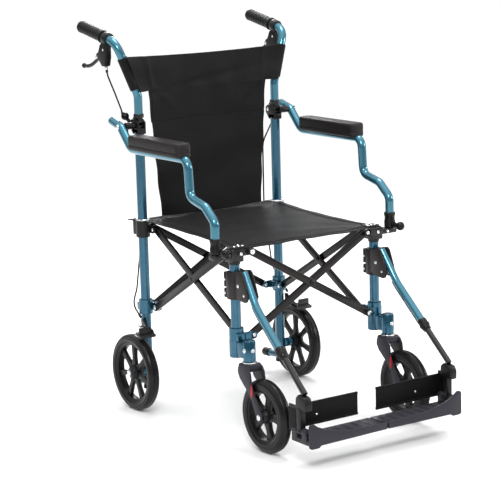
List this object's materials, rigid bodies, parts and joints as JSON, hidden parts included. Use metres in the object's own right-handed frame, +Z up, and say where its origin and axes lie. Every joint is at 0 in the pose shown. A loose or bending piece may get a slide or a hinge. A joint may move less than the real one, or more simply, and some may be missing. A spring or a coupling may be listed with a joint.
{
  "type": "folding transport wheelchair",
  "caption": "Folding transport wheelchair with crossed bars on all sides, sling seat and back, caster fronts, swing-away footrests, lift-up arms and hand brakes.",
  "frame": {"origin": "on the ground, under the middle of the chair's bounding box in plan", "axes": "+Z up, -Y the way the chair faces, +X the sitter's left"},
  "size_m": [0.575, 0.9128, 0.9956],
  "materials": {
    "blue_frame": "glossy metallic light blue",
    "post_blue": "glossy metallic steel blue",
    "black_steel": "satin black",
    "black_plastic": "satin black",
    "grey_plastic": "satin dark grey",
    "rubber": "matt black",
    "tyre": "semi-matt black",
    "bright_tube": "polished",
    "sling": "woven charcoal nylon",
    "padding": "matt charcoal"
  },
  "bodies": {
    "rear_frame_right": {"rear_post_right": "post_blue", "rear_lower_bracket_right": "post_blue", "back_hinge_right": "black_steel", "brake_cable_lower_right": "rubber", "back_lower": "sling"},
    "rear_frame_left": {"rear_post_left": "post_blue", "rear_lower_bracket_left": "post_blue", "back_hinge_left": "black_steel", "brake_cable_lower_left": "rubber"},
    "slider_right": {"rear_slider_right": "black_plastic"},
    "corner_right": {"front_corner_right": "black_steel"},
    "front_frame_right": {"front_post_right": "post_blue", "front_lower_bracket_right": "post_blue"},
    "back_tube_right": {"upper_tube_right": "blue_frame", "grip_right": "rubber", "brake_housing_right": "black_plastic", "brake_cable_upper_right": "rubber", "back_upper": "sling"},
    "hand_lever_right": {"brake_lever_right": "black_steel"},
    "wheel_brake_right": {"brake_arm_right": "black_steel"},
    "rear_wheel_right": {"rear_tyre_right": "tyre", "rear_rim_right": "black_plastic"},
    "caster_right": {"caster_fork_right": "grey_plastic"},
    "caster_roller_right": {"caster_wheel_right": "tyre"},
    "arm_right": {"arm_tube_right": "blue_frame", "arm_pad_right": "padding"},
    "hanger_right": {"footrest_collar_right": "grey_plastic", "hanger_tube_right": "blue_frame"},
    "extension_right": {"footrest_extension_right": "bright_tube"},
    "foot_right": {"footplate_right": "grey_plastic"},
    "slider_left": {"rear_slider_left": "black_plastic"},
    "corner_left": {"front_corner_left": "black_steel"},
    "front_frame_left": {"front_post_left": "post_blue", "front_lower_bracket_left": "post_blue"},
    "back_tube_left": {"upper_tube_left": "blue_frame", "grip_left": "rubber", "brake_housing_left": "black_plastic", "brake_cable_upper_left": "rubber"},
    "hand_lever_left": {"brake_lever_left": "black_steel"},
    "wheel_brake_left": {"brake_arm_left": "black_steel"},
    "rear_wheel_left": {"rear_tyre_left": "tyre", "rear_rim_left": "black_plastic"},
    "caster_left": {"caster_fork_left": "grey_plastic"},
    "caster_roller_left": {"caster_wheel_left": "tyre"},
    "arm_left": {"arm_tube_left": "blue_frame", "arm_pad_left": "padding"},
    "hanger_left": {"footrest_collar_left": "grey_plastic", "hanger_tube_left": "blue_frame"},
    "extension_left": {"footrest_extension_left": "bright_tube"},
    "foot_left": {"footplate_left": "grey_plastic"},
    "bar_rear_a": {"cross_bar_rear_a": "black_steel"},
    "bar_rear_b": {"cross_bar_rear_b": "black_steel"},
    "bar_front_a": {"cross_bar_front_a": "black_steel"},
    "bar_front_b": {"cross_bar_front_b": "black_steel"},
    "bar_right_a": {"cross_bar_right_a": "black_steel"},
    "bar_right_b": {"cross_bar_right_b": "black_steel"},
    "bar_left_a": {"cross_bar_left_a": "black_steel"},
    "bar_left_b": {"cross_bar_left_b": "black_steel"},
    "seat_front_half": {"seat_front": "sling"},
    "seat_rear_half": {"seat_rear": "sling"}
  },
  "joints": [
    {"name": "frame_fold", "type": "hinge", "parent": "rear_frame_right", "child": "bar_rear_a", "pos_m": [-0.1765, 0.2871, 0.264], "axis": [0, -1, 0], "range_deg": [0, 50], "deforming": ["back_lower", "back_upper"]},
    {"name": "rear_cross", "type": "hinge", "parent": "bar_rear_a", "child": "bar_rear_b", "pos_m": [0, 0.2871, 0.3663], "axis": [0, -1, 0], "range_deg": [-100, 0]},
    {"name": "rear_cross_foot_left", "type": "hinge", "parent": "bar_rear_b", "child": "rear_frame_left", "pos_m": [0.1765, 0.2871, 0.264], "axis": [0, -1, 0], "range_deg": [0, 50]},
    {"name": "rear_cross_top_left", "type": "hinge", "parent": "bar_rear_a", "child": "slider_left", "pos_m": [0.1765, 0.2871, 0.4686], "axis": [0, -1, 0], "range_deg": [-50, 0]},
    {"name": "rear_cross_top_right", "type": "hinge", "parent": "bar_rear_b", "child": "slider_right", "pos_m": [-0.1765, 0.2871, 0.4686], "axis": [0, -1, 0], "range_deg": [0, 50]},
    {"name": "right_cross_foot_rear", "type": "hinge", "parent": "rear_frame_right", "child": "bar_right_a", "pos_m": [-0.1965, 0.2401, 0.264], "axis": [-1, 0, 0], "range_deg": [0, 50]},
    {"name": "right_cross", "type": "hinge", "parent": "bar_right_a", "child": "bar_right_b", "pos_m": [-0.1965, 0.0636, 0.3663], "axis": [-1, 0, 0], "range_deg": [-100, 0]},
    {"name": "right_cross_foot_front", "type": "hinge", "parent": "bar_right_b", "child": "front_frame_right", "pos_m": [-0.1965, -0.1129, 0.264], "axis": [-1, 0, 0], "range_deg": [0, 50]},
    {"name": "right_cross_top_front", "type": "hinge", "parent": "bar_right_a", "child": "corner_right", "pos_m": [-0.1965, -0.1129, 0.4686], "axis": [-1, 0, 0], "range_deg": [-50, 0]},
    {"name": "front_cross_foot_right", "type": "hinge", "parent": "front_frame_right", "child": "bar_front_a", "pos_m": [-0.1765, -0.1599, 0.264], "axis": [0, -1, 0], "range_deg": [0, 50]},
    {"name": "front_cross", "type": "hinge", "parent": "bar_front_a", "child": "bar_front_b", "pos_m": [0, -0.1599, 0.3663], "axis": [0, -1, 0], "range_deg": [-100, 0]},
    {"name": "front_cross_foot_left", "type": "hinge", "parent": "bar_front_b", "child": "front_frame_left", "pos_m": [0.1765, -0.1599, 0.264], "axis": [0, -1, 0], "range_deg": [0, 50]},
    {"name": "front_cross_top_left", "type": "hinge", "parent": "bar_front_a", "child": "corner_left", "pos_m": [0.1765, -0.1599, 0.4686], "axis": [0, -1, 0], "range_deg": [-50, 0]},
    {"name": "left_cross_foot_rear", "type": "hinge", "parent": "rear_frame_left", "child": "bar_left_a", "pos_m": [0.1965, 0.2401, 0.264], "axis": [-1, 0, 0], "range_deg": [0, 50]},
    {"name": "left_cross", "type": "hinge", "parent": "bar_left_a", "child": "bar_left_b", "pos_m": [0.1965, 0.0636, 0.3663], "axis": [-1, 0, 0], "range_deg": [-100, 0]},
    {"name": "seat_front_droop", "type": "hinge", "parent": "corner_right", "child": "seat_front_half", "pos_m": [-0.2125, -0.1439, 0.47955], "axis": [-1, 0, 0], "range_deg": [0, 71.5], "deforming": ["seat_front"]},
    {"name": "seat_rear_droop", "type": "hinge", "parent": "slider_right", "child": "seat_rear_half", "pos_m": [-0.2125, 0.2711, 0.49303], "axis": [1, 0, 0], "range_deg": [0, 71.5], "deforming": ["seat_rear"]},
    {"name": "arm_lift_right", "type": "hinge", "parent": "rear_frame_right", "child": "arm_right", "pos_m": [-0.265, 0.2716, 0.737], "axis": [-1, 0, 0], "range_deg": [0, 75]},
    {"name": "back_fold", "type": "hinge", "parent": "rear_frame_right", "child": "back_tube_right", "pos_m": [-0.2125, 0.2871, 0.74], "axis": [-1, 0, 0], "range_deg": [0, 140]},
    {"name": "hand_brake_right", "type": "hinge", "parent": "back_tube_right", "child": "hand_lever_right", "pos_m": [-0.264, 0.3666, 0.908], "axis": [1, 0, 0], "range_deg": [0, 20], "stiffness_Nm_per_rad": 1.2},
    {"name": "wheel_brake_press_right", "type": "hinge", "parent": "rear_frame_right", "child": "wheel_brake_right", "pos_m": [-0.2335, 0.2576, 0.216], "axis": [1, 0, 0], "range_deg": [0, 2]},
    {"name": "rear_wheel_spin_right", "type": "hinge", "parent": "rear_frame_right", "child": "rear_wheel_right", "pos_m": [-0.258, 0.2596, 0.09914], "axis": [1, 0, 0], "continuous": true},
    {"name": "caster_swivel_right", "type": "hinge", "parent": "front_frame_right", "child": "caster_right", "pos_m": [-0.2125, -0.1969, 0.2], "axis": [0, 0, 1], "continuous": true},
    {"name": "caster_spin_right", "type": "hinge", "parent": "caster_right", "child": "caster_roller_right", "pos_m": [-0.2125, -0.2619, 0.08923], "axis": [1, 0, 0], "continuous": true},
    {"name": "hanger_swing_right", "type": "hinge", "parent": "front_frame_right", "child": "hanger_right", "pos_m": [-0.2125, -0.1439, 0.389], "axis": [0, 0, -1], "range_deg": [0, 90]},
    {"name": "footrest_length_right", "type": "slide", "parent": "hanger_right", "child": "extension_right", "axis": [-0.0159, -0.7495, -0.6618], "range_m": [0, 0.045]},
    {"name": "footplate_flip_right", "type": "hinge", "parent": "extension_right", "child": "foot_right", "pos_m": [-0.222, -0.4124, 0.09], "axis": [0, -1, 0], "range_deg": [0, 90]},
    {"name": "arm_lift_left", "type": "hinge", "parent": "rear_frame_left", "child": "arm_left", "pos_m": [0.265, 0.2716, 0.737], "axis": [-1, 0, 0], "range_deg": [0, 75]},
    {"name": "back_fold_left", "type": "hinge", "parent": "rear_frame_left", "child": "back_tube_left", "pos_m": [0.2125, 0.2871, 0.74], "axis": [-1, 0, 0], "range_deg": [0, 140]},
    {"name": "hand_brake_left", "type": "hinge", "parent": "back_tube_left", "child": "hand_lever_left", "pos_m": [0.264, 0.3666, 0.908], "axis": [1, 0, 0], "range_deg": [0, 20], "stiffness_Nm_per_rad": 1.2},
    {"name": "wheel_brake_press_left", "type": "hinge", "parent": "rear_frame_left", "child": "wheel_brake_left", "pos_m": [0.2335, 0.2576, 0.216], "axis": [1, 0, 0], "range_deg": [0, 2]},
    {"name": "rear_wheel_spin_left", "type": "hinge", "parent": "rear_frame_left", "child": "rear_wheel_left", "pos_m": [0.258, 0.2596, 0.09914], "axis": [1, 0, 0], "continuous": true},
    {"name": "caster_swivel_left", "type": "hinge", "parent": "front_frame_left", "child": "caster_left", "pos_m": [0.2125, -0.1969, 0.2], "axis": [0, 0, 1], "continuous": true},
    {"name": "caster_spin_left", "type": "hinge", "parent": "caster_left", "child": "caster_roller_left", "pos_m": [0.2125, -0.2619, 0.08923], "axis": [1, 0, 0], "continuous": true},
    {"name": "hanger_swing_left", "type": "hinge", "parent": "front_frame_left", "child": "hanger_left", "pos_m": [0.2125, -0.1439, 0.389], "axis": [0, 0, 1], "range_deg": [0, 90]},
    {"name": "footrest_length_left", "type": "slide", "parent": "hanger_left", "child": "extension_left", "axis": [0.0159, -0.7495, -0.6618], "range_m": [0, 0.045]},
    {"name": "footplate_flip_left", "type": "hinge", "parent": "extension_left", "child": "foot_left", "pos_m": [0.222, -0.4124, 0.09], "axis": [0, 1, 0], "range_deg": [0, 90]}
  ],
  "couplings": [
    {"joint": "rear_cross", "follows": "frame_fold", "ratio": -2},
    {"joint": "rear_cross_foot_left", "follows": "frame_fold", "ratio": 1},
    {"joint": "rear_cross_top_left", "follows": "frame_fold", "ratio": -1},
    {"joint": "rear_cross_top_right", "follows": "frame_fold", "ratio": 1},
    {"joint": "right_cross_foot_rear", "follows": "frame_fold", "ratio": 1},
    {"joint": "right_cross", "follows": "frame_fold", "ratio": -2},
    {"joint": "right_cross_foot_front", "follows": "frame_fold", "ratio": 1},
    {"joint": "right_cross_top_front", "follows": "frame_fold", "ratio": -1},
    {"joint": "front_cross_foot_right", "follows": "frame_fold", "ratio": 1},
    {"joint": "front_cross", "follows": "frame_fold", "ratio": -2},
    {"joint": "front_cross_foot_left", "follows": "frame_fold", "ratio": 1},
    {"joint": "front_cross_top_left", "follows": "frame_fold", "ratio": -1},
    {"joint": "left_cross_foot_rear", "follows": "frame_fold", "ratio": 1},
    {"joint": "left_cross", "follows": "frame_fold", "ratio": -2},
    {"joint": "seat_front_droop", "follows": "frame_fold", "ratio": 1.43},
    {"joint": "seat_rear_droop", "follows": "frame_fold", "ratio": 1.43},
    {"joint": "arm_lift_right", "follows": "frame_fold", "ratio": 1.5},
    {"joint": "wheel_brake_press_right", "follows": "hand_brake_right", "ratio": 0.1},
    {"joint": "hanger_swing_right", "follows": "frame_fold", "ratio": 1.8},
    {"joint": "arm_lift_left", "follows": "frame_fold", "ratio": 1.5},
    {"joint": "back_fold_left", "follows": "back_fold", "ratio": 1},
    {"joint": "wheel_brake_press_left", "follows": "hand_brake_left", "ratio": 0.1},
    {"joint": "hanger_swing_left", "follows": "frame_fold", "ratio": 1.8}
  ]
}
